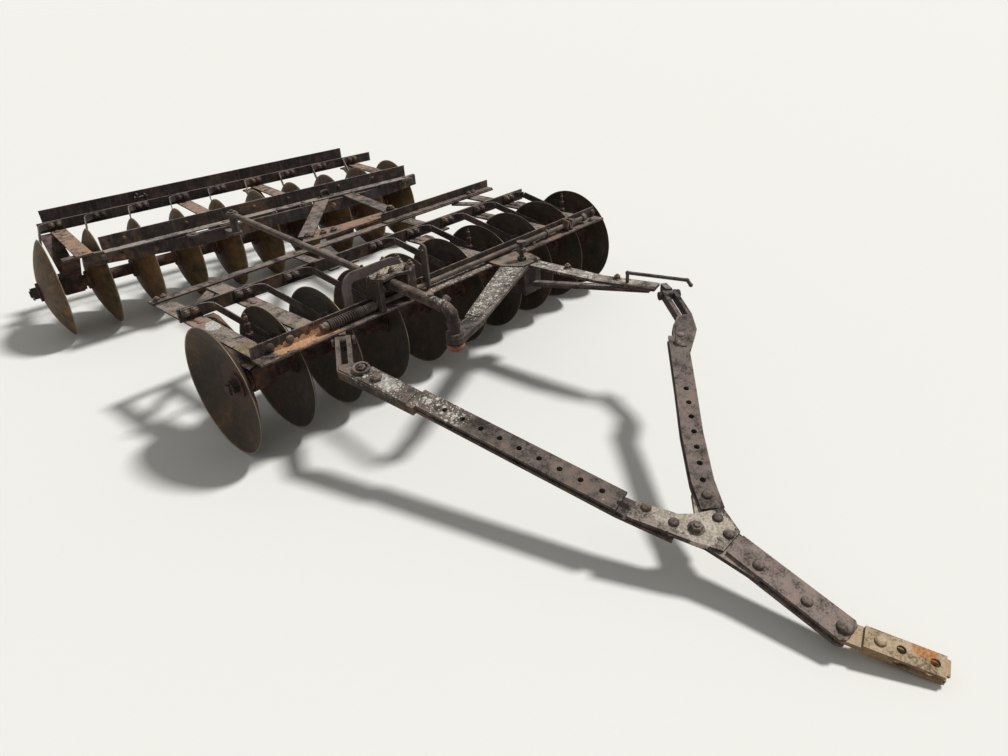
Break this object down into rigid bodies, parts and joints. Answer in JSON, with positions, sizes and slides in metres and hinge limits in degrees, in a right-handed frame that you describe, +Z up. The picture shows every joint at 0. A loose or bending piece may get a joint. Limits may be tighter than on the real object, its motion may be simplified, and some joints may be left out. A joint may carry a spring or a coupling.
{
  "type": "offset disc harrow",
  "caption": "Trailed offset disc harrow with two gangs of dished discs under hinged frames, a sliding angle-control rod and a V drawbar that lies on its hitch clevis.",
  "frame": {"origin": "centre of the hitch pin's hole in the hitch clevis, as the harrow stands parked with the clevis on the ground", "axes": "+X along the front gang towards its right end seen from the drawbar's side, +Y backwards from the hitch to the rear gang, +Z up"},
  "size_m": [2.3042, 4.5052, 0.62],
  "materials": {
    "frame_steel": "weathered brown-grey rust",
    "dark_frame_steel": "dark weathered rust",
    "lit_bar_steel": "weathered rust with dust",
    "rear_bar_steel": "orange-brown rust",
    "disc_steel": "dark brown rust with worn rims",
    "cast_iron_red": "red-brown rusty castings",
    "arbor_steel": "dark rust",
    "scraper_steel": "dark weathered rust",
    "latch_iron": "rust with lichen",
    "pipe_steel": "weathered brown rust",
    "crank_lichen_steel": "rust under grey-white lichen",
    "crank_steel": "pinkish-brown rust, lit top",
    "drawbar_steel": "brown-grey weathered rust",
    "clevis_rust": "tan-yellow rust with an orange tip"
  },
  "bodies": {
    "front_frame": {"front_rail": "frame_steel", "front_scraper_bar": "dark_frame_steel", "front_back_strip": "frame_steel", "front_back_angle": "dark_frame_steel", "front_cross_bars": "lit_bar_steel", "front_braces": "frame_steel", "front_hangers": "dark_frame_steel", "front_bearings": "cast_iron_red", "front_scrapers": "scraper_steel", "frame_hinge_strap": "frame_steel", "latch_casting": "latch_iron", "latch_plate": "latch_iron", "guide_loop": "frame_steel", "trip_pipe": "pipe_steel", "trip_spring": "pipe_steel", "trip_link": "pipe_steel", "crank_bracket": "latch_iron", "crank_left_arm": "crank_lichen_steel", "crank_right_arm": "crank_steel", "crank_rod_loop": "pipe_steel", "drawbar_lug": "crank_steel"},
    "front_gang": {"front_discs": "disc_steel", "front_spools": "cast_iron_red", "front_arbor": "arbor_steel"},
    "control_barrel": {"control_barrel": "pipe_steel"},
    "control_rod": {"control_rod": "pipe_steel"},
    "rear_frame": {"rear_front_rail": "dark_frame_steel", "rear_bow_beam": "dark_frame_steel", "rear_scraper_bar": "dark_frame_steel", "rear_back_angle": "dark_frame_steel", "rear_cross_bars": "rear_bar_steel", "rear_hangers": "dark_frame_steel", "rear_bearings": "cast_iron_red", "rear_scrapers": "scraper_steel", "rear_rod_bracket": "pipe_steel", "rear_straps": "frame_steel", "rear_tongue": "rear_bar_steel"},
    "rear_gang": {"rear_discs": "disc_steel", "rear_spools": "cast_iron_red", "rear_arbor": "arbor_steel"},
    "drawbar": {"drawbar_left_arm": "drawbar_steel", "drawbar_right_arm": "drawbar_steel", "drawbar_gusset": "drawbar_steel", "drawbar_tongue": "drawbar_steel"},
    "hitch_clevis": {"hitch_clevis": "clevis_rust"}
  },
  "joints": [
    {"name": "front_gang_turn", "type": "hinge", "parent": "front_frame", "child": "front_gang", "pos_m": [0.4457, 2.26401, 0.22804], "axis": [1, 0, 0], "continuous": true},
    {"name": "gang_angle", "type": "hinge", "parent": "front_frame", "child": "rear_frame", "pos_m": [0.837, 2.98401, 0.41404], "axis": [0, 0, 1], "range_deg": [-18, 6]},
    {"name": "rear_gang_turn", "type": "hinge", "parent": "rear_frame", "child": "rear_gang", "pos_m": [-0.581, 4.00501, 0.22804], "axis": [0.9925, -0.1219, 0], "continuous": true},
    {"name": "barrel_swing", "type": "hinge", "parent": "front_frame", "child": "control_barrel", "pos_m": [0.017, 1.62401, 0.40404], "axis": [0, 0, 1], "range_deg": [-5, 2]},
    {"name": "rod_slide", "type": "slide", "parent": "control_barrel", "child": "control_rod", "axis": [0.0918, 0.9958, 0], "range_m": [-0.08, 0.215]},
    {"name": "drawbar_lift", "type": "hinge", "parent": "front_frame", "child": "drawbar", "pos_m": [-0.213, 1.97901, 0.37204], "axis": [-0.8145, 0.5801, 0], "range_deg": [-10, 35]},
    {"name": "clevis_swivel", "type": "hinge", "parent": "drawbar", "child": "hitch_clevis", "pos_m": [-0.06055, 0.19345, 0.03061], "axis": [-0.1407, -0.1975, 0.9702], "range_deg": [-20, 45]}
  ],
  "couplings": [
    {"joint": "barrel_swing", "follows": "gang_angle", "ratio": 0.2444},
    {"joint": "rod_slide", "follows": "gang_angle", "m_per_rad": -0.6551}
  ]
}
